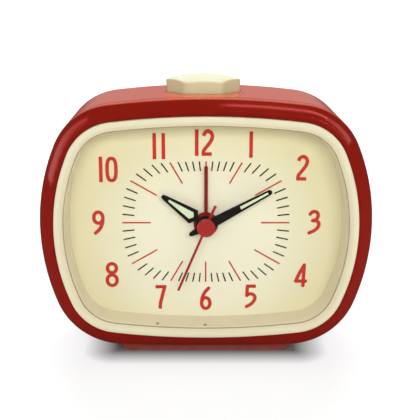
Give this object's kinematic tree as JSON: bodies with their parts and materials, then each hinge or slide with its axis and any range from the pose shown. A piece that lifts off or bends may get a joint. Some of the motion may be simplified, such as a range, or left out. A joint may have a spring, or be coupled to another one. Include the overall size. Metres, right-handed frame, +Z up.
{
  "type": "alarm clock",
  "caption": "Retro desk alarm clock with a bowed rectangular case, dial under a lens, snooze button on top, low foot and a battery quartz movement inside",
  "frame": {"origin": "centre of the foot's underside", "axes": "+Z up, the dial faces -Y, +X to the right of someone facing the dial"},
  "size_m": [0.116, 0.0552, 0.0998],
  "materials": {
    "case_red": "satin red moulded plastic",
    "cream": "satin cream moulded plastic",
    "lens_clear": "clear polished plastic",
    "dial_face": "matt cream, printed",
    "hand_red": "red paint on thin sheet metal",
    "cap_red": "red plastic",
    "hand_black": "black paint on thin sheet metal",
    "lume": "pale luminous fill",
    "foot_red": "dull red-brown rubber",
    "housing_black": "black moulded plastic",
    "gear_plastic": "natural moulded plastic",
    "brass": "turned brass",
    "steel": "plain steel",
    "coil_copper": "enamelled copper winding",
    "board": "green board",
    "battery_sleeve": "plain sleeve"
  },
  "bodies": {
    "case": {"front_frame": "case_red", "rear_shell": "case_red", "bezel_ring": "cream", "dial_surround": "cream", "lens": "lens_clear", "dial": "dial_face", "foot": "foot_red", "movement_front": "housing_black", "movement_rear": "housing_black", "snooze_switch": "housing_black", "buzzer": "housing_black", "clock_chip": "housing_black", "movement_mid": "gear_plastic", "snooze_bracket": "gear_plastic", "stator": "steel", "quartz_crystal": "steel", "battery_contact": "steel", "battery_terminal": "steel", "battery_spring": "steel", "snooze_spring": "steel", "case_screws": "steel", "movement_screws": "steel", "foot_screws": "steel", "coil": "coil_copper", "circuit_board": "board", "battery": "battery_sleeve"},
    "second_group": {"second_hand": "hand_red", "second_cap": "cap_red", "seconds_wheel": "gear_plastic"},
    "third_group": {"third_wheel": "gear_plastic"},
    "clutch_group": {"clutch_wheel": "gear_plastic"},
    "intermediate_group": {"intermediate_wheel": "gear_plastic"},
    "rotor_group": {"rotor": "steel"},
    "minute_group": {"minute_hand": "hand_black", "minute_lume": "lume", "minute_arbor": "brass"},
    "motion_group": {"motion_wheel": "gear_plastic"},
    "hour_group": {"hour_hand": "hand_black", "hour_lume": "lume", "hour_wheel": "gear_plastic"},
    "time_knob_group": {"time_knob": "cream", "time_shaft": "gear_plastic"},
    "alarm_hand_group": {"alarm_hand": "hand_red", "alarm_wheel": "gear_plastic"},
    "alarm_knob_group": {"alarm_knob": "cream", "alarm_shaft": "gear_plastic"},
    "button_group": {"snooze_button": "cream"},
    "switch_group": {"alarm_switch": "cream"},
    "door_group": {"battery_door": "case_red"}
  },
  "joints": [
    {"name": "second_hand_turn", "type": "hinge", "parent": "case", "child": "second_group", "pos_m": [0, -0.017, 0.0492], "axis": [0, 1, 0], "continuous": true},
    {"name": "third_wheel_turn", "type": "hinge", "parent": "case", "child": "third_group", "pos_m": [0, -0.017, 0.05973], "axis": [0, 1, 0], "continuous": true},
    {"name": "clutch_wheel_turn", "type": "hinge", "parent": "case", "child": "clutch_group", "pos_m": [0, -0.017, 0.0492], "axis": [0, 1, 0], "continuous": true},
    {"name": "intermediate_wheel_turn", "type": "hinge", "parent": "case", "child": "intermediate_group", "pos_m": [0, -0.017, 0.03828], "axis": [0, 1, 0], "continuous": true},
    {"name": "rotor_turn", "type": "hinge", "parent": "case", "child": "rotor_group", "pos_m": [0.0081, -0.017, 0.03828], "axis": [0, 1, 0], "continuous": true},
    {"name": "time_knob_turn", "type": "hinge", "parent": "case", "child": "time_knob_group", "pos_m": [-0.0192, -0.017, 0.0492], "axis": [0, 1, 0], "continuous": true},
    {"name": "minute_hand_turn", "type": "hinge", "parent": "case", "child": "minute_group", "pos_m": [0, -0.017, 0.0492], "axis": [0, 1, 0], "continuous": true},
    {"name": "motion_wheel_turn", "type": "hinge", "parent": "case", "child": "motion_group", "pos_m": [-0.0096, -0.017, 0.0492], "axis": [0, 1, 0], "continuous": true},
    {"name": "hour_hand_turn", "type": "hinge", "parent": "case", "child": "hour_group", "pos_m": [0, -0.017, 0.0492], "axis": [0, 1, 0], "continuous": true},
    {"name": "alarm_knob_turn", "type": "hinge", "parent": "case", "child": "alarm_knob_group", "pos_m": [0.0135, -0.017, 0.0492], "axis": [0, 1, 0], "continuous": true},
    {"name": "alarm_hand_turn", "type": "hinge", "parent": "case", "child": "alarm_hand_group", "pos_m": [0, -0.017, 0.0492], "axis": [0, 1, 0], "continuous": true},
    {"name": "snooze_press", "type": "slide", "parent": "case", "child": "button_group", "axis": [0, 0, -1], "range_m": [0, 0.002], "stiffness_N_per_m": 400, "springref_m": -0.002, "deforming": ["snooze_spring"]},
    {"name": "alarm_switch_slide", "type": "slide", "parent": "case", "child": "switch_group", "axis": [1, 0, 0], "range_m": [0, 0.005]},
    {"name": "battery_door_swing", "type": "hinge", "parent": "case", "child": "door_group", "pos_m": [-0.0014, 0.0189, 0.0112], "axis": [-1, 0, 0], "range_deg": [0, 90]}
  ],
  "couplings": [
    {"joint": "intermediate_wheel_turn", "follows": "second_hand_turn", "ratio": -6},
    {"joint": "rotor_turn", "follows": "second_hand_turn", "ratio": 30},
    {"joint": "third_wheel_turn", "follows": "second_hand_turn", "ratio": -0.13333},
    {"joint": "clutch_wheel_turn", "follows": "second_hand_turn", "ratio": 0.016667},
    {"joint": "minute_hand_turn", "follows": "time_knob_turn", "ratio": 1},
    {"joint": "motion_wheel_turn", "follows": "time_knob_turn", "ratio": -0.33333},
    {"joint": "hour_hand_turn", "follows": "time_knob_turn", "ratio": 0.083333},
    {"joint": "alarm_hand_turn", "follows": "alarm_knob_turn", "ratio": -0.28571}
  ]
}
